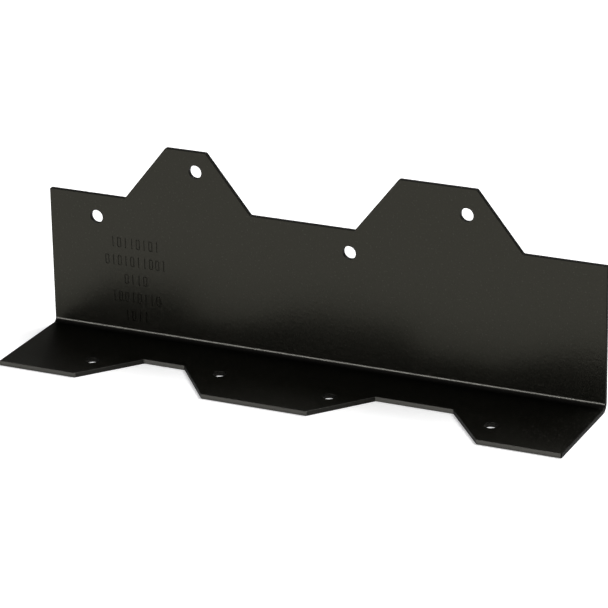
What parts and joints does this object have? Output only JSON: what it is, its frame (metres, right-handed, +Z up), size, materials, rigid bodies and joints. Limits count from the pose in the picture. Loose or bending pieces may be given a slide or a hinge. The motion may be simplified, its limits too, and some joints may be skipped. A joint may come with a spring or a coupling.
{
  "type": "reinforcing angle",
  "caption": "Folded sheet-steel angle with a powder-coated finish: an upright leg with trapezoid tabs and a base leg with matching notches, each with round nail holes.",
  "frame": {"origin": "middle of the rectangle that the angle stands in, on the underside of its base leg", "axes": "+X along the fold, from the narrow tab to the broad tab; +Y from the base leg's free edge towards the upright leg; +Z up along the upright leg"},
  "size_m": [0.1778, 0.0364, 0.0619],
  "materials": {
    "powder_coat": "satin"
  },
  "bodies": {
    "root": {"reinforcing_angle": "powder_coat"}
  },
  "joints": []
}
